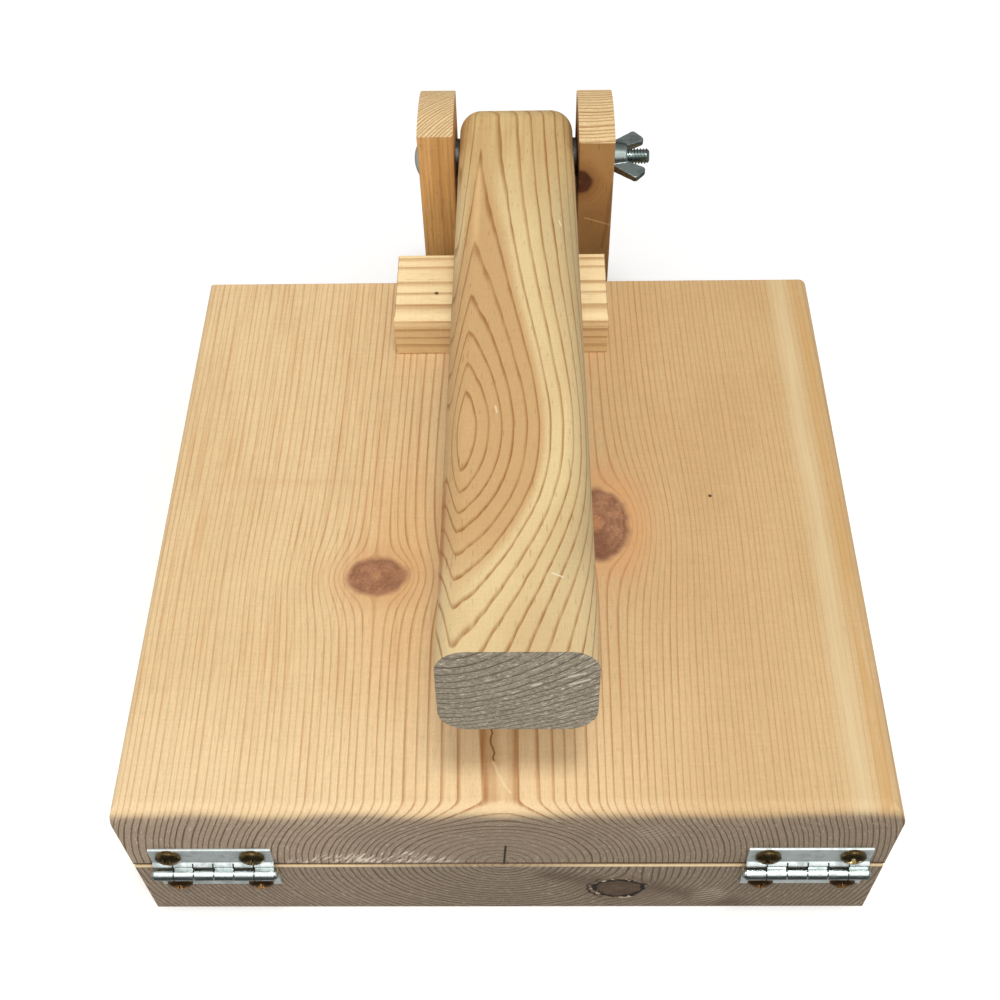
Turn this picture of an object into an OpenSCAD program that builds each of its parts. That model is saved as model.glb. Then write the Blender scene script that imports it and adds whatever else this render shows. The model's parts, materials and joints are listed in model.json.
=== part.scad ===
// Wooden tortilla press: two boards hinged at the front, with a lever at the back that bears on the lid.
// Millimetres. X runs to the right, Y to the back, Z up.
// The origin is the middle of the base board's underside.

/* [Boards] */
// Width of both boards, left to right
board_w = 254; // [220:1:300]
// Thickness of each board
board_t = 38.1; // [32:0.1:45]
// Length of the lid, front to back
lid_len = 244; // [200:1:300]
// How far the base runs out behind the lid to carry the uprights
tail_len = 20; // [8:1:30]

/* [Board edges] */
// Roundover along the lid's front top edge
front_round = 6.35; // [2:0.05:12]
// Roundover along the lid's right top edge
right_round = 5; // [1:0.5:12]
// Roundover along the lid's left top edge
left_round = 2.5; // [1:0.5:12]
// Roundover along the lid's lower front edge, which leaves a ledge of the base in view
lip_round = 1.4; // [0.5:0.1:3]
// Light sanding of all the other wooden edges
sanding = 0.8; // [0.3:0.1:2]

/* [Press block] */
// Length of the block, left to right
block_w = 85; // [70:1:120]
// Depth of the block, front to back
block_depth = 38.1; // [30:0.1:45]
// Height of the block above the lid
block_t = 19.05; // [12:0.05:25]
// Sideways place of the block's middle
block_x = -2.2; // [-10:0.1:10]
// Strip of lid left bare behind the block
block_setback = 4; // [2:0.5:10]
// Roundover along the block's upper front edge
block_round = 4; // [1:0.5:8]
// Diameter of the brads that pin the block down
brad_d = 1.6; // [1:0.1:2.5]
// Distance between the two brads
brad_spacing = 52; // [20:1:60]
// Depth of a brad's head below the top of the block
brad_sink = 0.6; // [0.2:0.1:2]
// Length of a brad in the lid
brad_bite = 18; // [8:1:24]
// Distance of the brads behind the block's front face
brad_inset = 15.5; // [6:0.5:28]

/* [Uprights] */
// Thickness of each upright, left to right
upright_t = 14.6; // [10:0.1:20]
// Depth of each upright, front to back
upright_depth = 38; // [30:0.5:50]
// Height of the left upright's crown above the pivot
left_top = 26.5; // [14:0.5:40]
// Height of the right upright's crown above the pivot
right_top = 23.8; // [14:0.5:40]
// Radius of the crowns
crown_r = 60; // [40:1:120]
// How far behind its front face the left upright is highest
left_crown_y = 11; // [5:0.5:30]
// How far behind its front face the right upright is highest
right_crown_y = 16; // [5:0.5:30]

/* [Upright screws] */
// Shank diameter
wood_screw_d = 4.2; // [3:0.1:6]
// Diameter of the countersunk head
wood_screw_head_d = 8.2; // [6.5:0.1:11]
// Length of a screw in the base
wood_screw_bite = 25; // [15:1:60]
// Distance of the screws from the base's upper and lower faces
wood_screw_inset = 10; // [6:0.5:14]

/* [Handle] */
// Width of the handle
handle_w = 47; // [35:0.5:60]
// Thickness of the handle
handle_t = 38.1; // [30:0.1:45]
// Roundover along the handle's four long edges
handle_round = 9; // [3:0.5:14]
// Distance from the pivot to the front end
handle_reach = 273.3; // [180:0.1:320]
// Height of the pivot above the top of the press block
pivot_rise = 15.2; // [13:0.1:18]
// Sideways place of the handle's middle
lever_x = 4.2; // [-10:0.1:10]
// Gap left between the handle and the press block at rest
rest_gap = 0.3; // [0.1:0.05:1]

/* [Pivot bolt] */
// Diameter of the bolt
bolt_d = 6.35; // [5:0.05:10]
// Length of the bolt past the right upright
bolt_past = 15.9; // [10:0.1:25]
// Diameter of the domed head
bolt_head_d = 14.8; // [12:0.1:20]
// Height of the domed head
bolt_head_h = 3.1; // [2.5:0.1:6]
// Length of the square neck under the head
neck_len = 5; // [3:0.1:9]
// Chamfer at the bolt's tip
bolt_chamfer = 0.9; // [0.3:0.1:1.5]
// Running clearance between the bolt and the handle's bore, on the radius
bore_clearance = 0.08; // [0.02:0.01:0.1]
// Clearance of the bolt's holes in the uprights, on the radius
hole_clearance = 0.2; // [0.05:0.05:0.5]
// Outside diameter of the washers
washer_d = 16; // [13:0.1:22]
// Thickness of the washers
washer_t = 1.6; // [1:0.1:3]
// Clearance of the bolt in a washer, on the radius
washer_clearance = 0.3; // [0.1:0.05:0.6]
// Play between the handle and each washer
side_play = 0.3; // [0.1:0.05:0.8]

/* [Wing nut] */
// Diameter of the hub where it bears on the upright
hub_d = 12.6; // [11:0.1:16]
// Diameter of the hub's outer end
hub_top_d = 10.6; // [10:0.1:14]
// Height of the hub
hub_h = 6.6; // [4:0.1:9]
// Distance of a wing's outer corner from the bolt's axis, to the centre of its round
wing_side = 11.3; // [8:0.1:14]
// Distance of a wing's outer corner from the upright
wing_out = 9.6; // [7:0.1:14]
// Distance of a wing's inner corner from the bolt's axis
wing_inner_side = 8.4; // [6:0.1:11]
// Distance of a wing's inner corner from the upright
wing_inner_out = 12.4; // [8:0.1:16]
// Radius of a wing's corners
wing_corner_r = 1.5; // [0.6:0.1:2.5]
// Thickness of the wings
wing_t = 3.2; // [2:0.1:5]
// Distance from the bolt to where the wings rise from the hub's end
wing_root = 0.9; // [0.4:0.1:1.5]
// Turn of the nut at rest: 0 lays the wings level
wing_turn = 9; // [0:1:90]

/* [Hinges] */
// Distance of the left hinge's middle from the boards' left side
left_hinge_inset = 28; // [24:0.1:45]
// Distance of the right hinge's middle from the boards' right side
right_hinge_inset = 26.4; // [24:0.1:45]
// Length of a hinge along its pin
hinge_len = 41; // [34:0.5:50]
// Distance from the pin to a leaf's outer edge
leaf_reach = 14.2; // [12:0.1:18]
// Thickness of the sheet
leaf_t = 1; // [0.8:0.1:1.4]
// Number of knuckles, shared between the two leaves
knuckles = 6; // [4:2:8]
// Outside diameter of the knuckles
barrel_d = 4.6; // [4:0.1:5.4]
// Diameter of the pin
pin_d = 2.4; // [2:0.1:3]
// Distance of the pin in front of the boards
pin_out = 3; // [2.8:0.1:4]
// Height of the bend between the barrel and the flat of a leaf
bend_h = 3.6; // [2.5:0.1:4]
// How far below the top of the bend the saw cuts between knuckles stop
cut_stop = 1; // [0.5:0.1:2]
// Gap between neighbouring knuckles
knuckle_gap = 0.3; // [0.1:0.05:0.6]
// Diameter of the pin's riveted ends
rivet_d = 3.8; // [3.2:0.1:4]
// Thickness of the pin's riveted ends
rivet_h = 1.2; // [0.6:0.1:2]

/* [Hinge screws] */
// Shank diameter
hinge_screw_d = 3.6; // [2.5:0.1:4.5]
// Head diameter
hinge_head_d = 8.6; // [7.5:0.1:9]
// Head height
hinge_head_h = 2.5; // [1.8:0.1:3.5]
// Length of a screw in the wood
hinge_screw_bite = 18; // [10:1:30]
// Distance between the two screws of a leaf
hinge_screw_spacing = 28; // [20:0.5:30]
// Distance of the screws from the pin
hinge_screw_side = 10.4; // [9.5:0.1:12]

/* [Hidden] */
$fn = 64;

lid_colour = [0.88, 0.74, 0.54];
base_colour = [0.80, 0.68, 0.52];
block_colour = [0.93, 0.83, 0.62];
upright_colour = [0.72, 0.54, 0.34];
handle_colour = [0.90, 0.79, 0.57];
zinc_colour = [0.74, 0.76, 0.77];
yellow_zinc_colour = [0.62, 0.50, 0.27];

// Boards
base_len = lid_len + tail_len;
front_y = -base_len / 2;
base_back_y = base_len / 2;
lid_back_y = front_y + lid_len;
lid_top_z = 2 * board_t;
pilot_clearance = 0.05;
overrun = 1;

// Press block
block_back_y = lid_back_y - block_setback;
block_front_y = block_back_y - block_depth;
block_top_z = lid_top_z + block_t;

// Lever
pivot_y = base_back_y + upright_depth / 2;
pivot_z = block_top_z + pivot_rise;
fork_gap = handle_w + 2 * (washer_t + side_play);
left_face_x = lever_x - fork_gap / 2;
right_face_x = lever_x + fork_gap / 2;
grip = fork_gap + 2 * upright_t;
bolt_start_x = left_face_x - upright_t;
bolt_len = grip + bolt_past;
bolt_rim = 0.8;

// The handle rests on the block's upper back edge, which is sanded to a small radius
edge_back = pivot_y - (block_back_y - sanding);
edge_down = pivot_z - (block_top_z - sanding);
rest_tilt = asin((handle_t / 2 + rest_gap + sanding) / norm([edge_back, edge_down]))
          - atan2(edge_down, edge_back);

// Hinges
left_hinge_x = left_hinge_inset - board_w / 2;
right_hinge_x = board_w / 2 - right_hinge_inset;
barrel_r = barrel_d / 2;
knuckle_w = hinge_len / knuckles;
bend_z = barrel_r + bend_h;
cut_z = bend_z - cut_stop;
pin_clearance = 0.05;
bend_outer_angle = 100;
bend_inner_angle = 55;
LOWER = 0;
UPPER = 1;

// Screw details
wood_screw_tip = 6;
hinge_screw_tip = 5;
screw_point_d = 0.4;
hinge_head_rim = 0.9;
recess_span = 4.6;
recess_w = 1;
recess_depth = 1.6;

// ---------- outlines and directions ----------

// What a roundover takes off a corner at the origin, with the wood towards +X and +Y
module corner_waste(r) {
  difference() {
    translate([-overrun, -overrun]) square(r + overrun);
    translate([r, r]) circle(r);
  }
}

// A rectangle with its own radius at each corner: lower left, lower right, upper right, upper left
module eased_rect(size, radii) {
  difference() {
    square(size);
    corner_waste(radii[0]);
    translate([size.x, 0]) mirror([1, 0]) corner_waste(radii[1]);
    translate(size) rotate(180) corner_waste(radii[2]);
    translate([0, size.y]) mirror([0, 1]) corner_waste(radii[3]);
  }
}

function all_round(r) = [r, r, r, r];

// Extrudes an outline drawn in Y and Z from x to x + len
module along_x(x, len) {
  translate([x, 0, 0]) rotate([90, 0, 90]) linear_extrude(len) children();
}

// Extrudes an outline drawn in X and Z from y to y + len
module along_y(y, len) {
  translate([0, y + len, 0]) rotate([90, 0, 0]) linear_extrude(len) children();
}

// Turns a piece drawn along +Z so that it lies along +X
module lay_along_x() {
  rotate([0, 90, 0]) children();
}

// ---------- boards ----------

module base_board() {
  color(base_colour)
  difference() {
    intersection() {
      along_x(-board_w / 2, board_w)
        translate([front_y, 0]) eased_rect([base_len, board_t], all_round(sanding));
      along_y(front_y, base_len)
        translate([-board_w / 2, 0]) eased_rect([board_w, board_t], all_round(sanding));
    }
    for (x = [left_hinge_x, right_hinge_x]) at_hinge_screws(x, LOWER) pilot_hole();
    for (x = [left_face_x - upright_t / 2, right_face_x + upright_t / 2])
      at_upright_screws(x) wood_screw_hole();
  }
}

module lid_board() {
  color(lid_colour)
  difference() {
    intersection() {
      along_x(-board_w / 2, board_w)
        translate([front_y, board_t])
          eased_rect([lid_len, board_t], [lip_round, sanding, sanding, front_round]);
      along_y(front_y, lid_len)
        translate([-board_w / 2, board_t])
          eased_rect([board_w, board_t], [sanding, sanding, right_round, left_round]);
    }
    for (x = [left_hinge_x, right_hinge_x]) at_hinge_screws(x, UPPER) pilot_hole();
    at_brads() brad_hole();
  }
}

// ---------- press block ----------

module at_brads() {
  for (side = [-1, 1])
    translate([block_x + side * brad_spacing / 2, block_front_y + brad_inset, block_top_z]) children();
}

module brad_hole() {
  translate([0, 0, -block_t - brad_bite])
    cylinder(d = brad_d + 2 * pilot_clearance, h = block_t + brad_bite + overrun);
}

module press_block() {
  color(block_colour)
  difference() {
    intersection() {
      along_x(block_x - block_w / 2, block_w)
        translate([block_front_y, lid_top_z])
          eased_rect([block_depth, block_t], [sanding, sanding, sanding, block_round]);
      along_y(block_front_y, block_depth)
        translate([block_x - block_w / 2, lid_top_z])
          eased_rect([block_w, block_t], all_round(sanding));
    }
    at_brads() brad_hole();
  }
}

module block_brads() {
  brad_len = block_t - brad_sink + brad_bite;
  color(zinc_colour)
  at_brads() translate([0, 0, -brad_sink - brad_len]) cylinder(d = brad_d, h = brad_len);
}

// ---------- uprights ----------

// One upright from x to x + upright_t, highest at crown_y behind its front face
module upright(x, top, crown_y) {
  intersection() {
    along_x(x, upright_t)
      intersection() {
        translate([base_back_y, 0]) square([upright_depth, pivot_z + top]);
        translate([base_back_y + crown_y, pivot_z + top - crown_r]) union() {
          circle(crown_r, $fn = 180);
          translate([-crown_r, -crown_r - pivot_z]) square([2 * crown_r, crown_r + pivot_z]);
        }
      }
    translate([x, base_back_y, 0])
      linear_extrude(pivot_z + top) eased_rect([upright_t, upright_depth], all_round(sanding));
  }
}

module bolt_hole(x, len, clearance) {
  translate([x, pivot_y, pivot_z]) lay_along_x() cylinder(d = bolt_d + 2 * clearance, h = len);
}

module left_upright() {
  neck_w = bolt_d + 2 * pilot_clearance;
  color(upright_colour)
  difference() {
    upright(left_face_x - upright_t, left_top, left_crown_y);
    bolt_hole(left_face_x - upright_t - overrun, upright_t + 2 * overrun, hole_clearance);
    translate([bolt_start_x - overrun, pivot_y - neck_w / 2, pivot_z - neck_w / 2])
      cube([neck_len + overrun, neck_w, neck_w]);
    at_upright_screws(left_face_x - upright_t / 2) wood_screw_hole();
  }
}

module right_upright() {
  color(upright_colour)
  difference() {
    upright(right_face_x, right_top, right_crown_y);
    bolt_hole(right_face_x - overrun, upright_t + 2 * overrun, hole_clearance);
    at_upright_screws(right_face_x + upright_t / 2) wood_screw_hole();
  }
}

// Places a screw drawn along +Z so that it runs forward from the uprights' back faces
module at_upright_screws(x) {
  for (z = [wood_screw_inset, board_t - wood_screw_inset])
    translate([x, base_back_y + upright_depth, z]) rotate([90, 0, 0]) children();
}

module wood_screw_body(clearance) {
  head_h = (wood_screw_head_d - wood_screw_d) / 2;
  shank = upright_depth + wood_screw_bite - wood_screw_tip;
  d = wood_screw_d + 2 * clearance;
  cylinder(d1 = wood_screw_head_d + 2 * clearance, d2 = d, h = head_h);
  cylinder(d = d, h = shank);
  translate([0, 0, shank]) cylinder(d1 = d, d2 = screw_point_d + 2 * clearance, h = wood_screw_tip);
}

module wood_screw_hole() {
  wood_screw_body(pilot_clearance);
  translate([0, 0, -overrun]) cylinder(d = wood_screw_head_d + 2 * pilot_clearance, h = overrun);
}

module wood_screw() {
  difference() {
    wood_screw_body(0);
    cross_recess();
  }
}

module left_upright_screws() {
  color(yellow_zinc_colour) at_upright_screws(left_face_x - upright_t / 2) wood_screw();
}

module right_upright_screws() {
  color(yellow_zinc_colour) at_upright_screws(right_face_x + upright_t / 2) wood_screw();
}

// ---------- handle ----------

// The handle's section turned about the pivot, which rounds its back end
module handle_knuckle() {
  lay_along_x()
  rotate_extrude()
  intersection() {
    translate([-handle_t / 2, -handle_w / 2])
      eased_rect([handle_t, handle_w], all_round(handle_round));
    translate([0, -handle_w / 2]) square([handle_t, handle_w]);
  }
}

module handle() {
  color(handle_colour)
  translate([lever_x, pivot_y, pivot_z])
  rotate([-rest_tilt, 0, 0])
  difference() {
    union() {
      along_y(-handle_reach, handle_reach)
        translate([-handle_w / 2, -handle_t / 2])
          eased_rect([handle_w, handle_t], all_round(handle_round));
      handle_knuckle();
    }
    translate([-handle_w / 2 - overrun, 0, 0])
      lay_along_x() cylinder(d = bolt_d + 2 * bore_clearance, h = handle_w + 2 * overrun);
  }
}

// ---------- pivot bolt, washers and wing nut ----------

// A shallow dome of diameter d on a straight rim, drawn from z = 0 up to z = h
module domed_head(d, h, rim) {
  rise = h - rim;
  dome_r = (pow(d / 2, 2) + pow(rise, 2)) / (2 * rise);
  intersection() {
    cylinder(d = d, h = h);
    translate([0, 0, h - dome_r]) sphere(dome_r, $fn = 128);
  }
}

module pivot_bolt() {
  color(zinc_colour)
  translate([bolt_start_x, pivot_y, pivot_z])
  lay_along_x() {
    mirror([0, 0, 1]) domed_head(bolt_head_d, bolt_head_h, bolt_rim);
    translate([-bolt_d / 2, -bolt_d / 2, 0]) cube([bolt_d, bolt_d, neck_len]);
    cylinder(d = bolt_d, h = bolt_len - bolt_chamfer);
    translate([0, 0, bolt_len - bolt_chamfer])
      cylinder(d1 = bolt_d, d2 = bolt_d - 2 * bolt_chamfer, h = bolt_chamfer);
  }
}

module washer(x) {
  color(zinc_colour)
  translate([x, pivot_y, pivot_z])
  lay_along_x()
  difference() {
    cylinder(d = washer_d, h = washer_t);
    translate([0, 0, -overrun])
      cylinder(d = bolt_d + 2 * washer_clearance, h = washer_t + 2 * overrun);
  }
}

module left_washer() {
  washer(left_face_x);
}

module right_washer() {
  washer(right_face_x - washer_t);
}

// Half outline of the nut's wings: X is the way out along the bolt, Y the distance from its axis
module wing_outline() {
  root = bolt_d / 2 + wing_root;
  hull() {
    polygon([[0, root], [0, hub_d / 2], [hub_h, root]]);
    translate([wing_out, wing_side]) circle(wing_corner_r);
    translate([wing_inner_out, wing_inner_side]) circle(wing_corner_r);
  }
}

module wing_nut() {
  color(zinc_colour)
  translate([right_face_x + upright_t, pivot_y, pivot_z])
  rotate([wing_turn, 0, 0])
  difference() {
    union() {
      lay_along_x() cylinder(d1 = hub_d, d2 = hub_top_d, h = hub_h);
      for (flip = [0, 1]) mirror([0, flip, 0])
        translate([0, 0, -wing_t / 2]) linear_extrude(wing_t) wing_outline();
    }
    translate([-overrun, 0, 0])
      lay_along_x() cylinder(d = bolt_d + 2 * pin_clearance, h = hub_h + wing_out + wing_side);
  }
}

// ---------- hinges ----------

// Places a screw drawn along +Z so that it runs back into a board's front edge, head at z < 0
module at_hinge_screws(x, leaf) {
  side = leaf == UPPER ? 1 : -1;
  for (end = [-1, 1])
    translate([x + end * hinge_screw_spacing / 2, front_y - leaf_t, board_t + side * hinge_screw_side])
      rotate([-90, 0, 0]) children();
}

module pilot_hole() {
  cylinder(d = hinge_screw_d + 2 * pilot_clearance, h = leaf_t + hinge_screw_bite);
}

// A cross recess that narrows as it goes in, cut into a head from z = 0
module cross_recess() {
  intersection() {
    union() for (turn = [0, 90]) rotate(turn)
      translate([-recess_span / 2, -recess_w / 2, -overrun])
        cube([recess_span, recess_w, recess_depth + overrun]);
    translate([0, 0, -overrun])
      cylinder(d1 = recess_span + 2 * overrun, d2 = recess_w, h = recess_depth + overrun);
  }
}

module hinge_screw() {
  shank = leaf_t + hinge_screw_bite - hinge_screw_tip;
  difference() {
    union() {
      mirror([0, 0, 1]) domed_head(hinge_head_d, hinge_head_h, hinge_head_rim);
      cylinder(d = hinge_screw_d, h = shank);
      translate([0, 0, shank]) cylinder(d1 = hinge_screw_d, d2 = screw_point_d, h = hinge_screw_tip);
    }
    translate([0, 0, -hinge_head_h]) cross_recess();
  }
}

// The knuckles that belong to one leaf, as their first edges along the pin
function knuckle_starts(leaf) =
  [for (i = [0 : knuckles - 1]) if (i % 2 == leaf) -hinge_len / 2 + i * knuckle_w];

// A leaf's section: flat on the wood, then a bend that runs out to the top of the barrel
module leaf_outline() {
  translate([pin_out - leaf_t, bend_z]) square([leaf_t, leaf_reach - bend_z]);
  polygon([
    [pin_out, bend_z], [pin_out - leaf_t, bend_z],
    barrel_r * [cos(bend_outer_angle), sin(bend_outer_angle)],
    barrel_r * [cos(bend_inner_angle), sin(bend_inner_angle)]
  ]);
}

// One leaf with its knuckles, drawn around the pin's axis and standing up from it
module hinge_leaf(leaf) {
  bore_d = pin_d + (leaf == UPPER ? 2 * pin_clearance : 0);
  difference() {
    union() {
      difference() {
        along_x(-hinge_len / 2, hinge_len) leaf_outline();
        lay_along_x()
          cylinder(d = barrel_d + 2 * knuckle_gap, h = hinge_len + 2 * overrun, center = true);
        for (i = [1 : knuckles - 1])
          translate([-hinge_len / 2 + i * knuckle_w - knuckle_gap / 2, -barrel_r - overrun, 0])
            cube([knuckle_gap, barrel_d + pin_out + overrun, cut_z]);
      }
      for (x = knuckle_starts(leaf)) intersection() {
        along_x(x + knuckle_gap / 2, knuckle_w - knuckle_gap) union() {
          circle(barrel_r);
          leaf_outline();
        }
        translate([x, -barrel_d, -barrel_d]) cube([knuckle_w, barrel_d + pin_out, barrel_d + cut_z]);
      }
    }
    lay_along_x() cylinder(d = bore_d, h = hinge_len + 2 * overrun, center = true);
    for (end = [-1, 1])
      translate([end * hinge_screw_spacing / 2, pin_out + overrun, hinge_screw_side])
        rotate([90, 0, 0]) cylinder(d = hinge_screw_d + 2 * hole_clearance, h = leaf_t + 2 * overrun);
  }
}

module at_hinge(x) {
  translate([x, front_y - pin_out, board_t]) children();
}

module hinge_pin() {
  lay_along_x() {
    cylinder(d = pin_d, h = hinge_len + rivet_h, center = true);
    for (flip = [0, 1]) mirror([0, 0, flip])
      translate([0, 0, hinge_len / 2]) domed_head(rivet_d, rivet_h, rivet_h / 3);
  }
}

module left_lower_leaf() {
  color(zinc_colour) at_hinge(left_hinge_x) mirror([0, 0, 1]) hinge_leaf(LOWER);
}

module left_upper_leaf() {
  color(zinc_colour) at_hinge(left_hinge_x) hinge_leaf(UPPER);
}

module left_hinge_pin() {
  color(zinc_colour) at_hinge(left_hinge_x) hinge_pin();
}

module left_lower_screws() {
  color(yellow_zinc_colour) at_hinge_screws(left_hinge_x, LOWER) hinge_screw();
}

module left_upper_screws() {
  color(yellow_zinc_colour) at_hinge_screws(left_hinge_x, UPPER) hinge_screw();
}

module right_lower_leaf() {
  color(zinc_colour) at_hinge(right_hinge_x) mirror([0, 0, 1]) hinge_leaf(LOWER);
}

module right_upper_leaf() {
  color(zinc_colour) at_hinge(right_hinge_x) hinge_leaf(UPPER);
}

module right_hinge_pin() {
  color(zinc_colour) at_hinge(right_hinge_x) hinge_pin();
}

module right_lower_screws() {
  color(yellow_zinc_colour) at_hinge_screws(right_hinge_x, LOWER) hinge_screw();
}

module right_upper_screws() {
  color(yellow_zinc_colour) at_hinge_screws(right_hinge_x, UPPER) hinge_screw();
}

base_board();
lid_board();
press_block();
block_brads();
left_upright();
right_upright();
left_upright_screws();
right_upright_screws();
handle();
pivot_bolt();
left_washer();
right_washer();
wing_nut();
left_lower_leaf();
left_upper_leaf();
left_hinge_pin();
left_lower_screws();
left_upper_screws();
right_lower_leaf();
right_upper_leaf();
right_hinge_pin();
right_lower_screws();
right_upper_screws();
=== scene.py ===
"""A wooden tortilla press: pine boards, a lever on a pivot bolt and two zinc hinges.

Metres, with X to the right, Y to the back and Z up. The origin is the middle of the base board's underside.
"""

from collections import namedtuple
from math import ceil, cos, radians, sin, sqrt, tau

import bmesh
import bpy
from mathutils import Euler, Matrix, Vector
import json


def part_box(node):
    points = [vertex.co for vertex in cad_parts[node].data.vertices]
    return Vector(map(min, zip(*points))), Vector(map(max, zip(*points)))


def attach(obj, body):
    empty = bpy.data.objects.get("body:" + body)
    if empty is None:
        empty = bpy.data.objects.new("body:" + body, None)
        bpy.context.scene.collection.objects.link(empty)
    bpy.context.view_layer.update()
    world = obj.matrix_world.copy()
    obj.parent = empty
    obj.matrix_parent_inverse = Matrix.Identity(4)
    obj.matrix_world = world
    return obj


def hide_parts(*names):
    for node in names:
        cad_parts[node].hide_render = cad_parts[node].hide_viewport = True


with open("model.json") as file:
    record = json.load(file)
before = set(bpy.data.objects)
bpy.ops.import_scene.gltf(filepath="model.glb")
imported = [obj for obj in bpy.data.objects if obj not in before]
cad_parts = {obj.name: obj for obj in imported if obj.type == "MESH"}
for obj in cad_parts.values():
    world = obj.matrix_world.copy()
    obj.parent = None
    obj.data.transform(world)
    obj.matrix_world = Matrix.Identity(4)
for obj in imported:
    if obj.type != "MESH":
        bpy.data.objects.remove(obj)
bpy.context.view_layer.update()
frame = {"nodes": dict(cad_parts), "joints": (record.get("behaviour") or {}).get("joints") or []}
scene = bpy.context.scene

MM = 0.001
BASE_LOW, BASE_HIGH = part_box("base_board")
LID_LOW, LID_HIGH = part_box("lid_board")
BLOCK_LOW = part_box("press_block")[0]
HANDLE_LOW, HANDLE_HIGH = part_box("handle")
LEFT_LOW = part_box("left_upright")[0]
RIGHT_LOW, RIGHT_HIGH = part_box("right_upright")
FRONT_Y = BASE_LOW.y
SEAM_Z = LID_LOW.z
PIVOT = Vector(next(joint["pos_m"] for joint in frame["joints"] if joint["name"] == "lever_pivot"))
HANDLE_R = HANDLE_HIGH.y - PIVOT.y


# ---- shader nodes ----

class Wire:
    """A socket in the node tree of a material or world. Arithmetic on it adds Math nodes."""

    def __init__(self, owner, socket=None):
        self.owner = owner
        self.tree = owner.node_tree
        self.socket = socket

    def add(self, kind, inputs=None, settings=None, output=0):
        """Adds a shader node with its settings and the values or links of its sockets."""
        node = self.tree.nodes.new("ShaderNode" + kind)
        for name, value in (settings or {}).items():
            setattr(node, name, value)
        for name, value in (inputs or {}).items():
            if isinstance(value, Wire):
                self.tree.links.new(value.socket, node.inputs[name])
            else:
                node.inputs[name].default_value = value
        return Wire(self.owner, node.outputs[output]) if len(node.outputs) else None

    def math(self, operation, *values):
        return self.add("Math", dict(enumerate(values)), {"operation": operation})

    def __add__(self, other):
        return self.math("ADD", self, other)

    def __sub__(self, other):
        return self.math("SUBTRACT", self, other)

    def __rsub__(self, other):
        return self.math("SUBTRACT", other, self)

    def __mul__(self, other):
        return self.math("MULTIPLY", self, other)

    def __truediv__(self, other):
        return self.math("DIVIDE", self, other)

    def __rtruediv__(self, other):
        return self.math("DIVIDE", other, self)

    def __pow__(self, other):
        return self.math("POWER", self, other)

    def __abs__(self):
        return self.math("ABSOLUTE", self)

    def squared(self):
        return self.math("MULTIPLY", self, self)

    def root(self):
        return self.math("SQRT", self)

    def fraction(self):
        return self.math("FRACT", self)

    def at_least(self, low):
        return self.math("MAXIMUM", self, low)

    def at_most(self, high):
        return self.math("MINIMUM", self, high)

    def rise(self, low, high):
        """0 below low, 1 above high and smooth between them. It falls where low is above high."""
        ends = {1: low, 2: high} if low < high else {1: high, 2: low, 3: 1.0, 4: 0.0}
        settings = {"interpolation_type": "SMOOTHSTEP", "clamp": True}
        return self.add("MapRange", {0: self, **ends}, settings)

    def near(self, middle, half):
        """1 at middle, falling smoothly to 0 at a distance of half."""
        return abs(self - middle).rise(half, 0.0)

    def from_line(self, other, start, end):
        """Distance of the point (this wire, other) from the line between two points."""
        run = Vector(end) - Vector(start)
        share = ((self - start[0]) * run.x + (other - start[1]) * run.y) / run.length_squared
        share = share.at_least(0.0).at_most(1.0)
        aside = (self - start[0] - share * run.x).squared()
        return (aside + (other - start[1] - share * run.y).squared()).root()

    def parts(self):
        split = self.add("SeparateXYZ", {0: self})
        return [Wire(self.owner, socket) for socket in split.socket.node.outputs]

    def joined(self, second, third):
        return self.add("CombineXYZ", {0: self, 1: second, 2: third})

    def per(self, *sizes):
        """This place counted in units of one size, or of a size for each axis."""
        scale = [1 / size for size in (sizes if len(sizes) == 3 else sizes * 3)]
        return self.add("VectorMath", {0: self, 1: scale}, {"operation": "MULTIPLY"})

    def noise(self, detail=2.0, roughness=0.5, output=0):
        """Noise around 0.5 at this vector, with blotches about as large as the vector's unit."""
        sockets = {"Vector": self, "Scale": 1.0, "Detail": detail, "Roughness": roughness}
        return self.add("TexNoise", sockets, output=output)

    def noise_parts(self):
        """Three smooth noises around 0.5."""
        return self.noise(0.0, output=1).parts()

    def noise_line(self, detail=0.0):
        """Smooth noise around 0.5 along a single number."""
        sockets = {"W": self, "Scale": 1.0, "Detail": detail}
        return self.add("TexNoise", sockets, {"noise_dimensions": "1D"})

    def tint(self, first, second):
        """The first color where this wire is 0 and the second where it is 1."""
        settings = {"data_type": "RGBA", "clamp_factor": True}
        return self.add("Mix", {0: self, 6: linear(first), 7: linear(second)}, settings, output=2)

    def shade(self, color):
        """A color times this wire."""
        grey = self.joined(self, self)
        settings = {"data_type": "RGBA", "blend_type": "MULTIPLY"}
        return self.add("Mix", {0: 1.0, 6: color, 7: grey}, settings, output=2)

    def surface(self, color, roughness, relief=None, metallic=0.0, glow=0.0):
        """Joins a color, a roughness and a relief in millimetres, and gives the material."""
        sockets = {"Base Color": color, "Roughness": roughness, "Metallic": metallic}
        if glow:
            sockets.update({"Emission Color": color, "Emission Strength": glow})
        if relief is not None:
            bump = {"Strength": 1.0, "Distance": MM, "Height": relief}
            sockets["Normal"] = self.add("Bump", bump)
        shader = self.add("BsdfPrincipled", sockets)
        self.add("OutputMaterial", {"Surface": shader})
        return self.owner


def linear(color):
    """Three screen numbers, 0 to 255, as linear light. A wire or a color of four stays as it is."""
    if isinstance(color, Wire) or len(color) == 4:
        return color
    return [((part / 255 + 0.055) / 1.055) ** 2.4 for part in color] + [1.0]


def painted(color, *layers):
    """Lays colors over a first one in turn, each where its mask is 1."""
    for mask, shade in layers:
        color = mask.tint(color, shade)
    return color


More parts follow.
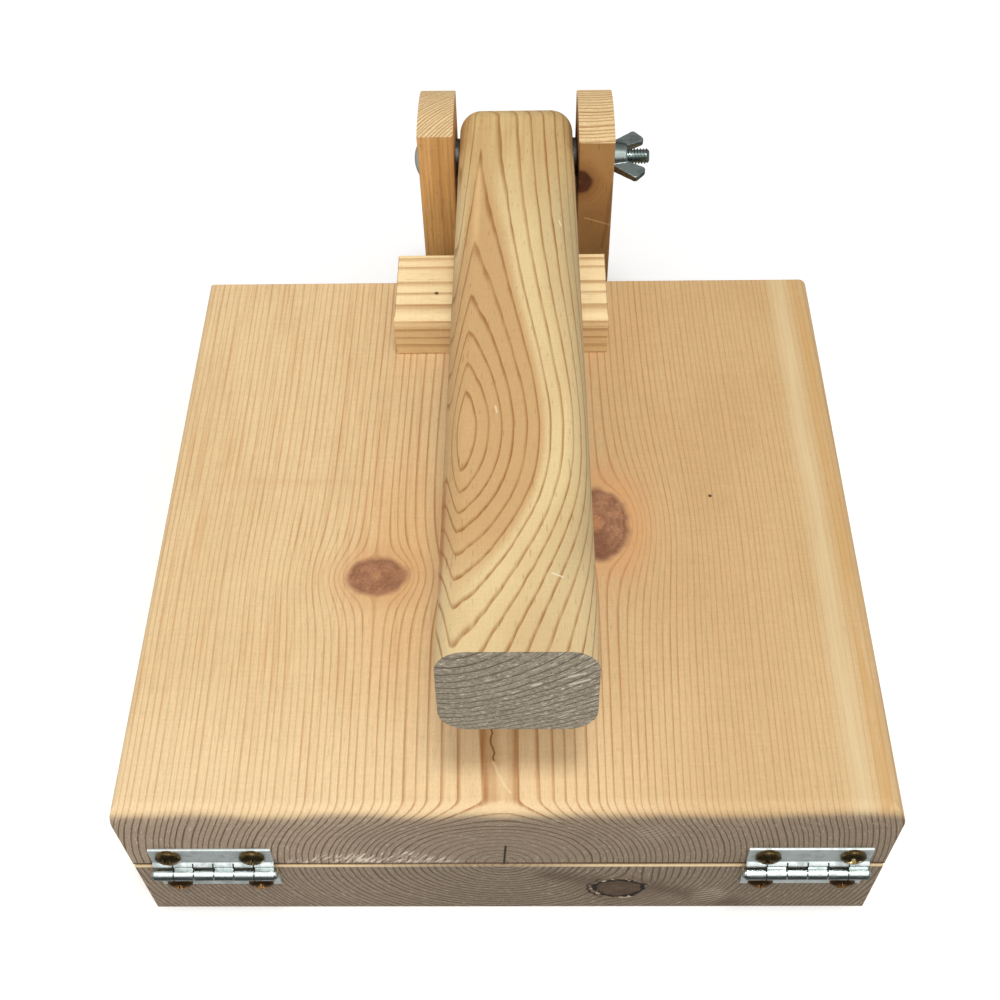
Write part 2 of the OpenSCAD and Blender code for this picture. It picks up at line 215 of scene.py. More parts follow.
def emptied(owner):
    """The first wire of a material's or world's emptied node tree."""
    owner.use_nodes = True
    owner.node_tree.nodes.clear()
    return Wire(owner)


def new_material(name):
    return emptied(bpy.data.materials.new(name))


def object_place(wire):
    """Object coordinates in millimetres."""
    return wire.add("Mapping", {"Vector": wire.add("TexCoord", output=3), "Scale": (1 / MM,) * 3})


# ---- wood ----

ALONG_Y = (radians(90), 0.0, 0.0)
ALONG_X = (0.0, radians(-90), 0.0)
ALONG_Z = (0.0, 0.0, 0.0)

# A knot with half sizes in millimetres. One with a depth is seen on a cut end, one without on a face.
Knot = namedtuple("Knot", "place wide long core rim line halo soft deep bark", defaults=(None, None))


class Grain:
    """Growth rings, fibres and cut ends of a piece sawn from a log whose length turn lays along Z.

    The rings are gap wide, and far_gap wide beyond the radius far. late is the share of a ring's
    width at which it darkens. wander and wobble are how far the rings stray and shake.
    """

    def __init__(self, name, heart, turn, gap, squeeze=1.0, far=1000.0, far_gap=1.0, wander=2.5,
                 uneven=0.5, late=0.5, knots=(), reach=None, wobble=0.0):
        self.wire = new_material(name)
        self.knots = knots
        self.spin = Euler(turn).to_matrix()
        self.heart = Vector(heart)
        self.place = self.wire.add("Mapping", {
            "Vector": self.wire.add("TexCoord", output=3), "Rotation": turn,
            "Scale": (1 / MM,) * 3, "Location": -(self.spin @ self.heart) / MM})
        self.across, self.deep, self.along = self.place.parts()
        across, deep = self.wavy(wander, wobble)
        self.knot_fields = [self.knot_field(knot) for knot in knots]
        for _, aside, even in self.knot_fields:
            across = across - aside / even.at_least(1.0)
        if reach:
            self.radius = reach(across, deep, self.along)
        else:
            self.radius = ((across * squeeze).squared() + deep.squared()).root()
        self.draw_lines(gap, far, far_gap, uneven, late)
        self.texture()

    def wavy(self, wander, wobble):
        """The places across and into the log, shaken by slow and quick waves."""
        drift = self.place.per(70, 70, 260).noise_parts()
        quiver = self.place.per(9, 9, 70).noise_parts()
        across = self.across + (drift[0] - 0.5) * (4 * wander) + (quiver[0] - 0.5) * 0.5
        deep = self.deep + (drift[1] - 0.5) * (4 * wander) + (quiver[1] - 0.5) * 0.5
        if wobble:
            deep = deep + (self.place.per(3, 3, 20).noise(1.0) - 0.5) * (2 * wobble)
        return across, deep

    def draw_lines(self, gap, far, far_gap, uneven, late):
        """Counts the rings out from the heart. Each darkens slowly from late on and ends sharply."""
        width_noise = (self.radius / (2.4 * gap)).noise_line(1.0) - 0.5
        count = self.radius / gap + (self.radius - far).at_least(0.0) * (1 / far_gap - 1 / gap)
        self.count = count + width_noise * (2 * uneven)
        phase = self.count.fraction()
        self.line = phase.rise(late, 0.93) * phase.rise(1.0, 0.94)
        self.year = (self.count * 0.45).noise_line()

    def texture(self):
        """Tells cut ends from faces and adds fibres, streaks, blotches, specks and flecks."""
        normal = self.wire.add("TexCoord", output=1)
        length = self.spin.inverted() @ Vector((0, 0, 1))
        dot = {"operation": "DOT_PRODUCT"}
        facing = self.wire.add("VectorMath", {0: normal, 1: length}, dot, output=1)
        self.cut_end = abs(facing).rise(0.4, 0.9)
        self.fibre = self.place.per(0.3, 0.3, 7).noise(3.0, 0.7)
        self.streak = self.place.per(1.8, 1.8, 45).noise(2.0)
        self.blotch = self.place.per(30, 30, 60).noise(2.0)
        self.speck = self.place.per(0.5, 0.5, 0.8).noise(3.0, 0.8)
        self.fleck = self.place.per(0.55, 0.55, 4.6).noise(0.0).rise(0.72, 0.8)
        self.torn = (self.radius / 0.5).joined(self.across / 2.6, self.deep / 2.6).noise(2.0, 0.6)

    def knot_field(self, knot):
        """A lumpy field that is 1 on a knot's outline, the sideways distance and the even field."""
        spot = (self.spin @ (Vector(knot.place) - self.heart)) / MM
        aside = self.across - spot.x
        second = (self.deep - spot.y) if knot.deep else (self.along - spot.z)
        even = (aside / knot.wide).squared() + (second / knot.long).squared()
        if knot.deep:
            even = even + (abs(self.along - spot.z) / knot.deep).squared()
        lumps = self.place.per(7, 7, 9).noise(1.0) * 0.7 + 0.65
        return even * lumps, aside, even

    def side_color(self, ground, dark, contrast=1.0, flecks=0.5):
        """A planed face: dark ring lines, fibres and short resin flecks over a ground color."""
        strength = self.line * (self.streak.rise(0.25, 0.7) * 0.45 + 0.3 + self.year * 0.5)
        color = (strength * contrast).tint(ground, dark)
        color = (self.fleck * flecks).tint(color, dark)
        sanded = self.place.per(10, 10, 0.8).noise(2.0, 0.6)
        return (self.fibre * 0.34 + self.speck * 0.34 + sanded * 0.12 + 0.6).shade(color)

    def end_color(self, ground, dark, contrast=1.0, torn=0.3):
        """A sawn end: ring lines over speckles and the saw's marks, with torn fibres along the rings."""
        strength = self.line * (self.speck.rise(0.35, 0.6) * 0.5 + 0.4 + self.year * 0.35)
        color = (strength * contrast).tint(ground, dark)
        sawn = self.place.per(16, 0.55, 9).noise(2.0)
        shade = self.speck * 0.95 + self.torn * 0.45 + sawn * 0.3 + self.blotch * 0.16
        color = (shade + 0.07).shade(color)
        return painted(color, (self.torn.rise(0.58, 0.76) * torn, (236, 226, 208)))

    def relief(self):
        """Raised ring lines and fibres in millimetres, and the rougher cut of an end."""
        side = self.line * 0.008 + self.fibre * 0.06 - self.fleck * 0.06
        end = self.speck * 0.3 - self.line * 0.1
        return side + (end - side) * self.cut_end

    def finish(self, color):
        """Joins a color to the wood's own roughness and relief."""
        rough = self.cut_end * 0.2 + self.speck * 0.2 - self.line * 0.06 + 0.52
        return self.wire.surface(color, rough, self.relief())

    def with_knots(self, color):
        """Paints the knots over a color."""
        for knot, (field, aside, _) in zip(self.knots, self.knot_fields):
            smear = self.place.per(5).noise(3.0, 0.6)
            out = field.root() + (smear - 0.5) * (1.4 * knot.soft)
            rings = (out * 5.0 + smear * 1.5).fraction()
            rings = rings.rise(0.3, 0.9) * rings.rise(1.0, 0.92)
            core = smear.rise(0.36, 0.6) * 0.7 + out.rise(0.6, 1.05) * 0.4
            body = painted(
                knot.core,
                (core, knot.rim),
                (rings * 0.2, knot.line),
                (out.rise(0.3, 0.1) * 0.35, knot.halo))
            color = painted(
                color,
                (out.rise(2.3, 1.0) * 0.45, knot.halo),
                (out.rise(1 + knot.soft, 1 - knot.soft), (self.speck * 1.3 + 0.35).shade(body)))
            if knot.bark:
                ragged = out + (self.place.per(3.4).noise(1.0) - 0.5) * 0.4
                crumbs = self.place.per(1.7).noise(0.0).rise(0.56, 0.66)
                crumbs = crumbs * ragged.near(1.08, 0.16).rise(0.1, 0.5) * smear.rise(0.47, 0.53)
                color = painted(
                    color,
                    (ragged.near(0.97, 0.16).rise(0.1, 0.55) * 0.95, knot.bark),
                    (ragged.near(1.24, 0.1) * aside.rise(-5.0, -7.5) * 0.9, knot.bark),
                    (crumbs, (206, 188, 156)))
        return color


def torn_seam(x, z):
    """Pale fibres torn up and to the right, just above the seam at the lid's front."""
    slant = radians(58)
    run = x * cos(slant) + z * sin(slant)
    rise = z * cos(slant) - x * sin(slant)
    tufts = (run / 7.0).joined(rise, 0.0).noise(2.0, 0.6).rise(0.5, 0.6)
    edge = (x / 9).noise_line(1.0) * 12 + x.near(-44, 40) * 8 + SEAM_Z / MM - 2
    return tufts * x.rise(-80, -70) * x.rise(-10, -24) * (edge - z).rise(-1.5, 3.0)


def saw_swirl(x, z, middle, center, gap=1.9):
    """Faint pale arcs left by a saw round a far center, in a patch about 8 wide."""
    arcs = ((x - center[0]).squared() + (z - center[1]).squared()).root() / gap
    patch = ((x - middle[0]).squared() + (z - middle[1]).squared()).root().rise(9.0, 3.0)
    return arcs.fraction().near(0.5, 0.32) * patch


def lid_rings(across, deep, along):
    """Rings that lie closer on the right of the heart than on its left."""
    aside = across * 0.86 + across.at_least(0.0) * 0.12
    return (aside.squared() + deep.squared()).root()


LID_HEART = (-1.2 * MM, 0.0, 40.4 * MM)
LID_KNOTS = (
    Knot((33.0 * MM, -16.5 * MM, LID_HIGH.z), 12.3, 16.3, (172, 122, 88), (138, 92, 64),
         (206, 158, 112), (224, 158, 98), soft=0.12),
    Knot((-46.5 * MM, -39.5 * MM, LID_HIGH.z), 10.5, 8.0, (170, 118, 84), (142, 94, 64),
         (196, 140, 98), (214, 160, 108), soft=0.2),
)
# Places on the lid in millimetres: X and Y on its top, X and Z on its ends
LID_BURN = ((33.5, -22.5), (34.5, -30.0))
LID_CRACK = ((-6.3, -94.0), (-3.6, -112.0))
LID_SPLIT = ((-4.4, -113.0), (1.0, -123.5))
LID_CHECK = ((-1.2, 38.0), (-0.4, 54.0))
LID_PINHOLE = (75.8, -3.9)
LID_SWIRL = ((48, 64), (30, 90))
LID_CHATTER_Y = 4.0
PALE_STRIP_X = 114.0
LAST_STREAK_X = 121.5


def lid_pine():
    """The lid: fine lines down its length, a pale strip at the right and two red knots, with painted light
    from the front left and a painted shadow at the seam.
    """
    grain = Grain("lid_pine", LID_HEART, ALONG_Y, gap=2.7, far=32, far_gap=1.8, wander=0.6,
                  uneven=0.45, late=0.64, knots=LID_KNOTS, reach=lid_rings)
    x, y, z = object_place(grain.wire).parts()
    # Painted light: lighter to the left and the front, darker to the right and the back, mixed with blotches
    # of the wood's own tone.
    painted_light_and_blotch = x.rise(-25.0, 75.0) * 0.75 + grain.blotch.rise(0.35, 0.65) * 0.25
    painted_light_and_blotch = painted_light_and_blotch * (y.rise(-110, 0) * 0.35 + 0.65)
    ground = painted(
        painted_light_and_blotch.tint((230, 199, 150), (206, 169, 117)),
        (grain.streak.rise(0.45, 0.75) * 0.7, (214, 172, 122)),
        # Painted shade to the right of the handle.
        (x.rise(40, 80) * 0.3, (202, 168, 118)),
        # Painted light along the front, fading out towards the right.
        (y.rise(-70, -120) * x.rise(80, 0) * 0.65, (238, 208, 161)),
        (x.near(-38, 26) * y.near(-30, 80) * 0.7, (230, 182, 120)))
    chatter = y.near(LID_CHATTER_Y, 5.0) * x.rise(-110, -100) * x.rise(-52, -62) * (y / 2.6).noise_line()
    side = painted(
        grain.side_color(ground, (174, 117, 62), x.near(0.0, 95.0) * 0.4 + 0.5, 0.12),
        (x.near(PALE_STRIP_X, 7.0) * (grain.streak * 1.2 + 0.15) * 0.8, (224, 201, 155)),
        (x.near(LAST_STREAK_X, 4.0) * grain.streak.rise(0.35, 0.6) * 0.6, (204, 158, 92)),
        (chatter * 0.3, (206, 152, 112)))
    burn = x.from_line(y, *LID_BURN).rise(5.0, 1.0) * grain.knot_fields[0][0].rise(1.1, 0.9)
    jag = (y / 4.5).noise_line(1.0) * 2.4 - 1.2
    crack = (x + jag).from_line(y, *LID_CRACK)
    split = (x + jag).from_line(y, *LID_SPLIT)
    hole = abs(x - LID_PINHOLE[0]).at_least(abs(y - LID_PINHOLE[1]))
    side = painted(
        grain.with_knots(side),
        (burn * 0.6, (116, 68, 40)),
        (crack.rise(4.5, 0.0) * 0.35, (184, 122, 62)),
        (crack.rise(0.45, 0.15) * 0.8, (104, 66, 34)),
        (split.rise(0.6, 0.2) * 0.6, (240, 214, 172)),
        (hole.rise(0.8, 0.4), (84, 52, 32)))
    sawn = x.rise(-70, 0).tint((166, 145, 121), (147, 128, 105))
    lines = grain.radius.rise(30.0, 22.0).tint((92, 66, 43), (120, 98, 76))
    check = (x + jag * 0.3).from_line(z, *LID_CHECK).rise(0.6, 0.15)
    notch = (abs(x + 1.2) * 0.6 + (z - SEAM_Z / MM)).rise(1.9, 1.2)
    end = painted(
        grain.end_color(sawn, lines, 1.05, 0.3),
        (torn_seam(x, z) * 0.95, (228, 214, 192)),
        (saw_swirl(x, z, *LID_SWIRL) * 0.3, (204, 190, 168)),
        # Painted shadow: a dark line along the end's lower edge, where the gap at the seam shades it.
        ((z - SEAM_Z / MM).rise(2.7, 1.9) * 0.85, (84, 54, 32)),
        (check.at_least(notch), (58, 42, 28)))
    cut_end = grain.cut_end * (z + grain.blotch * 5).rise(79.0, 75.0)
    return grain.finish(cut_end.tint(side, end))


BASE_HEART = (0.5 * MM, 0.0, 39.5 * MM)
BASE_KNOT = Knot((38.8 * MM, FRONT_Y, 17.6 * MM), 8.4, 7.5, (102, 80, 58), (84, 63, 44),
                 (78, 58, 40), (112, 90, 68), soft=0.08, deep=14.0, bark=(38, 26, 17))
BASE_STREAKS = (((47.0, 21.0), (80.0, 4.0)), ((15.0, 29.5), (29.0, 24.0)))
BASE_SWIRL = ((71, 11), (62, -16), 1.6)


def base_pine():
    """The base: the other half of the same log, with a dead knot in its front end and a painted highlight
    along its top front edge.
    """
    grain = Grain("base_pine", BASE_HEART, ALONG_Y, gap=2.05, squeeze=0.85, far=56, far_gap=1.6,
                  wander=0.7, uneven=0.45, late=0.58, knots=(BASE_KNOT,))
    x, _, z = object_place(grain.wire).parts()
    ground = grain.blotch.rise(0.35, 0.65).tint((222, 188, 138), (206, 170, 118))
    side = grain.side_color(ground, (184, 134, 80), 0.85, 0.12)
    sawn = x.rise(-70, 0).tint((149, 130, 108), (137, 120, 99))
    streak = x.from_line(z, *BASE_STREAKS[0]).at_most(x.from_line(z, *BASE_STREAKS[1]))
    # Painted highlight: a lit cream strip along the end's top edge at the seam, wider towards the ends.
    lit = (z - BASE_HIGH.z / MM).rise(-1.8, -1.1) * (abs(x + 10).rise(8, 50) * 0.7 + 0.25)
    end = painted(
        grain.end_color(sawn, (84, 62, 43), 1.0, 0.35),
        (streak.rise(8.0, 0.0) * 0.5, (80, 60, 42)),
        (saw_swirl(x, z, *BASE_SWIRL) * 0.7, (206, 190, 164)),
        (lit, (240, 212, 166)))
    return grain.finish(grain.with_knots(grain.cut_end.tint(side, end)))


def block_pine():
    """The press block: pale wood with a few wide lines along its length."""
    heart = (0.0, BLOCK_LOW.y - 26 * MM, BLOCK_LOW.z - 44 * MM)
    grain = Grain("block_pine", heart, ALONG_X, gap=4.2, wander=0.8, uneven=0.6, late=0.5)
    y = object_place(grain.wire).parts()[1]
    ground = grain.blotch.rise(0.35, 0.65).tint((252, 226, 174), (245, 215, 160))
    front = y.rise(BLOCK_LOW.y / MM + 1.5, BLOCK_LOW.y / MM - 0.5)
    ground = painted(ground, (front, (240, 206, 152)))
    side = grain.side_color(ground, (190, 142, 86), 0.85, 0.2)
    end = grain.end_color((214, 180, 130), (176, 134, 84), 0.9)
    return grain.finish(grain.cut_end.tint(side, end))


def left_upright_pine():
    """The left upright: straight lines, with a lighter stripe down its outer edge."""
    heart = (LEFT_LOW.x + 90 * MM, LEFT_LOW.y - 62 * MM, 0.0)
    grain = Grain("left_upright_pine", heart, ALONG_Z, gap=1.35, wander=1.0, uneven=0.4, late=0.4)
    x, _, z = object_place(grain.wire).parts()
    ground = painted(
        grain.blotch.rise(0.35, 0.65).tint((228, 179, 112), (214, 164, 98)),
        ((z / 46 - x).rise(32.6, 33.5) * 0.8, (238, 188, 122)),
        (grain.streak.rise(0.4, 0.65) * 0.45, (186, 134, 76)))
    side = grain.side_color(ground, (168, 112, 60), 0.35, 0.4)
    end = grain.end_color((236, 204, 152), (176, 128, 74), 1.0, 0.25)
    return grain.finish(grain.cut_end.tint(side, end))


UPRIGHT_KNOT = Knot((30 * MM, RIGHT_LOW.y, 112.6 * MM), 5.2, 6.0, (92, 46, 22), (66, 30, 14),
                    (50, 22, 10), (132, 84, 44), soft=0.2)
UPRIGHT_SCRATCH = ((33.1, 93.4), (43.6, 89.6))
UPRIGHT_STREAK = ((44.0, 111.0), (42.2, 88.0), (40.8, 77.0))


def right_upright_pine():
    """The right upright: browner, with a red knot near its top, a scratch and a dark streak."""
    heart = (RIGHT_LOW.x + 6 * MM, RIGHT_HIGH.y + 46 * MM, 0.0)
    grain = Grain("right_upright_pine", heart, ALONG_Z, gap=2.2, wander=1.0, uneven=0.4, late=0.4,
                  knots=(UPRIGHT_KNOT,))
    x, y, z = object_place(grain.wire).parts()
    ground = grain.blotch.rise(0.3, 0.6).tint((188, 143, 88), (164, 120, 70))
    out = grain.knot_fields[0][0].root()
    halo = (out * 2.6).fraction().near(0.5, 0.4) * out.rise(3.0, 1.6)
    side = painted(grain.side_color(ground, (126, 84, 44), 0.6, 0.4), (halo * 0.75, (186, 136, 76)))
    front = y.rise(RIGHT_LOW.y / MM + 0.6, RIGHT_LOW.y / MM + 0.2)
    scratch = x.from_line(z, *UPRIGHT_SCRATCH)
    dark = x.from_line(z, *UPRIGHT_STREAK[:2]).at_most(x.from_line(z, *UPRIGHT_STREAK[1:]))
    side = painted(
        grain.with_knots(side),
        (scratch.rise(0.6, 0.2) * front * 0.6, (216, 176, 122)),
        (dark.rise(1.3, 0.2) * front * 0.3, (82, 50, 24)))
    end = grain.end_color((236, 203, 150), (180, 132, 76), 1.0, 0.2)
    return grain.finish(grain.cut_end.tint(side, end))


HANDLE_TILT = radians(5.535)
LOOPS_ASIDE = 6.3
LOOPS_AHEAD = 183.3
LOOPS_LEAN = 0.0188
LOOPS_START = 0.9
LOOPS_POWER = 1.52
LOOPS_BACK = (28.0, 72.0, 1.1)
LOOPS_FRONT = (41.0, 67.0, 1.7)
END_TEARS = (
    ((31.9, 11.8), (36.3, 10.2)),
    ((32.2, 15.6), (37.6, 13.2)),
    ((21.5, 16.0), (24.0, 15.0)),
)
HANDLE_SCUFFS = (
    ((33.2, -72.0), (34.0, -75.0)),
    ((10.3, -174.0), (10.8, -177.0)),
    ((27.5, -245.0), (30.5, -246.5)),
)


def loops(across, deep, along):
    """Rings that close round one spot on the handle's top: pointed behind it and rounder ahead of it."""
    behind = along + LOOPS_AHEAD
    across = across - behind * LOOPS_LEAN
    left = 1.8 - deep.rise(2.0, 8.0) * 1.5
    aside = across.at_least(0.0) - across.at_most(0.0) * left
    ahead = settling(behind.at_least(0.0), *LOOPS_BACK) + settling(0 - behind.at_most(0.0), *LOOPS_FRONT)
    power = behind.rise(-8.0, 8.0) * 0.03 + LOOPS_POWER
    flat = (aside ** power + ahead ** power) ** (1 / power)
    point = (1 - aside / 3.5).at_least(0.0) * ahead.rise(1.0, 5.0) * deep.rise(3.5, 1.0) * 0.8
    below = deep * 0.8 + deep * deep.at_least(0.0) * 0.0165
    return (flat - point + below).at_least(LOOPS_START) - LOOPS_START


def settling(distance, limit, scale, power):
    """Rises with distance to a limit, which it nears beyond the scale."""
    fall = (distance / scale) ** power
    return (1 - fall.math("EXPONENT", 0 - fall)) * limit


def handle_pine():
    """The handle: thin lines that close in pointed loops, pinker at their middle, with painted shade towards
    its right edge.
    """
    top = Vector((0.0, sin(HANDLE_TILT), cos(HANDLE_TILT))) * HANDLE_R
    heart = Vector((HANDLE_LOW.x + LOOPS_ASIDE * MM, PIVOT.y, PIVOT.z)) + top
    grain = Grain("handle_pine", heart, (radians(90) + HANDLE_TILT, 0.0, 0.0), gap=3.95, wander=0.3,
                  uneven=0.2, late=0.7, reach=loops, wobble=0.4)
    across, along, radius = grain.across, grain.along, grain.radius
    ground = painted(
        radius.rise(23.5, 27.0).tint((205, 164, 110), (228, 201, 146)),
        # Painted shade: darker and greyer towards the right edge, where the roundover turns away from the
        # light, over a greenish grey of the wood.
        (radius.rise(31.5, 36.0) * 0.7, (208, 181, 130)),
        (radius.rise(36.0, 46.0) * 0.6, (176, 156, 114)),
        (radius.rise(6.0, 0.0) * 0.3, (222, 182, 128)),
        (along.rise(-80, -10) * 0.6, (210, 175, 112)),
        (along.rise(-225, -255) * 0.6, (226, 198, 146)),
        (grain.blotch.rise(0.4, 0.7) * 0.35, (206, 168, 118)),
        (along.rise(-70, 0) * grain.streak.rise(0.4, 0.7) * 0.5, (190, 147, 90)))
    axis = across - (along + LOOPS_AHEAD) * LOOPS_LEAN
    ray = axis.near(0.0, 2.2) * along.rise(-95, -75) * along.rise(-28, -40)
    bark = (across + LOOPS_ASIDE).near(0.9, 1.2) * along.rise(-198, -212) * along.rise(-256, -240)
    scuffs = [across.from_line(along, *scuff) + grain.speck * 0.8 for scuff in HANDLE_SCUFFS]
    side = painted(
        grain.side_color(ground, (160, 108, 52), 0.95, 0.35),
        (ray * 0.5, (238, 196, 138)),
        (bark * 0.7, (176, 102, 44)),
        *[(scuff.rise(0.9, 0.3) * 0.8, (244, 232, 204)) for scuff in scuffs])
    coarse = grain.place.per(1.1, 0.8, 1.0).noise(2.0, 0.7)
    end = grain.end_color((150, 138, 118), (74, 65, 50), coarse.rise(0.3, 0.65) * 0.8 + 0.4, 0.8)
    tears = [across.from_line(grain.deep, *tear) + coarse * 1.2 for tear in END_TEARS]
    fringe = (radius / 1.1).joined(across / 7, 0.0).noise(1.0).rise(0.62, 0.74) * across.rise(6, 34)
    end = painted(
        (coarse * 1.7 + 0.13).shade(end),
        *[(tear.rise(1.3, 0.6) * 0.7, (226, 218, 198)) for tear in tears],
        (fringe * 0.7, (222, 212, 190)))
    return grain.finish(grain.cut_end.tint(side, end))


# ---- metals ----

def zinc_plate():
    """Bright zinc with faint rolling lines and bloom, duller away from the hinges' barrels."""
    place = object_place(new_material("zinc_plate"))
    bloom = place.per(4).noise(3.0, 0.6).rise(0.42, 0.68)
    rolled = place.per(9, 0.35, 0.35).noise(2.0, 0.6)
    color = bloom.tint((214, 222, 220), (188, 197, 194))
    color = (rolled * 0.25 + 0.87).shade(color)
    dull = abs(place.parts()[2] - SEAM_Z / MM).rise(5.0, 5.8)
    rough = bloom * 0.16 + rolled * 0.14 + dull * 0.1 + 0.14
    return place.surface(color, rough, rolled * 0.006 + bloom * 0.004, 1 - dull * 0.45)


def cast_zinc():
    """The zinc of the wing nut and the thread: duller, with a fine skin."""
    place = object_place(new_material("cast_zinc"))
    skin = place.per(0.6).noise(3.0, 0.6)
    bloom = place.per(5).noise(2.0).rise(0.4, 0.65)
    color = bloom.tint((152, 163, 159), (124, 136, 132))
    return place.surface(color, bloom * 0.12 + skin * 0.12 + 0.2, skin * 0.03, 1.0)


def stained(name, size, detail, ends, clean, dark, rough):
    """A metal whose stains give its color, roughness and relief."""
    stain = object_place(new_material(name)).per(size).noise(*detail)
    color = stain.rise(*ends).tint(clean, dark)
    return stain.surface(color, stain * rough[0] + rough[1], stain * 0.02, 1.0)


def yellow_zinc():
    """Yellow chromate over zinc, gold to olive and brown, with a painted orange reflection of the wood on
    the screws below the seam.
    """
    place = object_place(new_material("yellow_zinc"))
    swirl = place.per(2.2).noise(2.0, 0.6)
    # Painted reflection: screws below the seam are tinted orange-brown, as if mirroring the wood.
    lower = place.parts()[2].rise(SEAM_Z / MM + 2, SEAM_Z / MM - 2)
    color = painted(
        swirl.rise(0.3, 0.55).tint((156, 136, 94), (134, 112, 74)),
        (swirl.rise(0.5, 0.7), (116, 113, 80)),
        (lower * 0.5, (166, 112, 66)))
    grime = place.per(0.8).noise(2.0)
    color = (grime * 0.4 + 0.78).shade(color)
    return place.surface(color, grime * 0.3 + 0.12, grime * 0.02, 1.0)


# Zinc for the washers: darkened as painted shade of the narrow gaps they sit in, and rougher than the plate.
def shaded_dull_zinc():
    return stained("shaded_dull_zinc", 3, (3.0, 0.6), (0.35, 0.65), (112, 117, 118), (78, 80, 80), (0.3, 0.35))


def brad_steel():
    return stained("brad_steel", 0.5, (2.0,), (0.4, 0.65), (92, 90, 88), (80, 58, 42), (0.4, 0.3))


# ---- modelling ----

DOUBLES = 0.001


def take(piece):
    """Leaves one piece selected and active."""
    bpy.ops.object.select_all(action="DESELECT")
    piece.select_set(True)
    bpy.context.view_layer.objects.active = piece


def edit(piece):
    """Opens a piece in edit mode, all selected."""
    take(piece)
    bpy.ops.object.mode_set(mode="EDIT")
    select()


def leave_edit():
    bpy.ops.object.mode_set(mode="OBJECT")


def select(action="SELECT"):
    bpy.ops.mesh.select_all(action=action)


def about(axis, degrees):
    return Matrix.Rotation(radians(degrees), 4, axis)


def shift(x, y, z):
    return Matrix.Translation((x, y, z))


def settle(piece, place=None):
    """Moves a piece by a matrix and puts the move into its mesh."""
    take(piece)
    if place is not None:
        piece.matrix_world = place @ piece.matrix_world
    bpy.ops.object.transform_apply(location=True, rotation=True, scale=True)
    return piece


def start_line(name, points):
    """A chain of edges through points, left in edit mode and all selected."""
    bpy.ops.mesh.primitive_plane_add(size=MM, location=points[0])
    piece = bpy.context.object
    piece.name = name
    edit(piece)
    bpy.ops.mesh.merge(type="CENTER")
    for here, there in zip(points, points[1:]):
        step = Vector(there) - Vector(here)
        bpy.ops.mesh.extrude_vertices_move(TRANSFORM_OT_translate={"value": step})
    select()
    return piece


def close_up(piece):
    """Merges doubles, turns the faces outwards and leaves edit mode."""
    select()
    bpy.ops.mesh.remove_doubles(threshold=DOUBLES * MM)
    bpy.ops.mesh.normals_make_consistent(inside=False)
    leave_edit()
    return settle(piece)


def turned(name, profile, steps=48):
    """Spins a profile of (distance from the axis, height) in millimetres about Z."""
    piece = start_line(name, [Vector((out, 0.0, up)) * MM for out, up in profile])
    bpy.ops.mesh.spin(steps=steps, angle=tau, center=(0, 0, 0), axis=(0, 0, 1))
    return close_up(piece)


def slab(name, outline, start, length):
    """Extrudes an outline of (Y, Z) in millimetres along X."""
    piece = start_line(name, [Vector((start, along, up)) * MM for along, up in outline])
    bpy.ops.mesh.edge_face_add()
    bpy.ops.mesh.extrude_region_move(TRANSFORM_OT_translate={"value": (length * MM, 0, 0)})
    return close_up(piece)


def modify(piece, kind, **settings):
    """Adds a modifier and applies it."""
    take(piece)
    modifier = piece.modifiers.new(kind.lower(), kind)
    for name, value in settings.items():
        setattr(modifier, name, value)
    bpy.ops.object.modifier_apply(modifier=modifier.name)
    return piece


def combine(piece, other, operation):
    """Unites a piece with another, or cuts the other out of it, and removes the other."""
    modify(piece, "BOOLEAN", operation=operation, object=other, solver="EXACT")
    bpy.data.objects.remove(other)
    return piece


def smooth(piece, angle):
    """Smooths the edges below an angle."""
    take(piece)
    bpy.ops.object.shade_smooth_by_angle(angle=radians(angle))
    return piece


def soften(piece, width, bevelled, smoothed):
    """Bevels the edges above one angle by a width in millimetres and smooths those below another."""
    modify(piece, "BEVEL", width=width * MM, segments=2, limit_method="ANGLE",
           angle_limit=radians(bevelled))
    return smooth(piece, smoothed)


def another(piece, name):
    """A copy of a piece with its own mesh."""
    copy = piece.copy()
    copy.data = piece.data.copy()
    copy.name = name
    scene.collection.objects.link(copy)
    return copy


def joined(name, pieces):
    """Joins pieces into the first of them."""
    take(pieces[0])
    for piece in pieces:
        piece.select_set(True)
    bpy.ops.object.join()
    pieces[0].name = name
    return pieces[0]


def finish(piece, body, material, node):
    """Gives a piece its material and its body, in place of a CAD node."""
    piece.data.materials.clear()
    piece.data.materials.append(material)
    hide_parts(node)
    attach(piece, body)
    return piece


def arc(radius, first, last, steps, middle=(0.0, 0.0)):
    """Points on an arc in millimetres, from one angle to another in degrees."""
    angles = [radians(first + (last - first) * step / steps) for step in range(steps + 1)]
    return [(middle[0] + radius * cos(turn), middle[1] + radius * sin(turn)) for turn in angles]


# ---- screws, bolt, washers and nut ----

RECESS_SPAN = 6.0
RECESS_W = 1.55
RECESS_DEPTH = 2.1
RECESS_TAPER = (0.45, 0.7, 1.0)
LAY_ALONG_X = about("Y", 90)
FACE_FRONT = about("X", 90)
FACE_BACK = about("X", -90)


def bar(sizes, middle):
    """A box with these sizes in millimetres round a height on Z, left in edit mode."""
    bpy.ops.mesh.primitive_cube_add(size=1.0, location=(0, 0, middle * MM))
    piece = bpy.context.object
    edit(piece)
    bpy.ops.transform.resize(value=[size * MM for size in sizes], center_override=piece.location)
    return piece


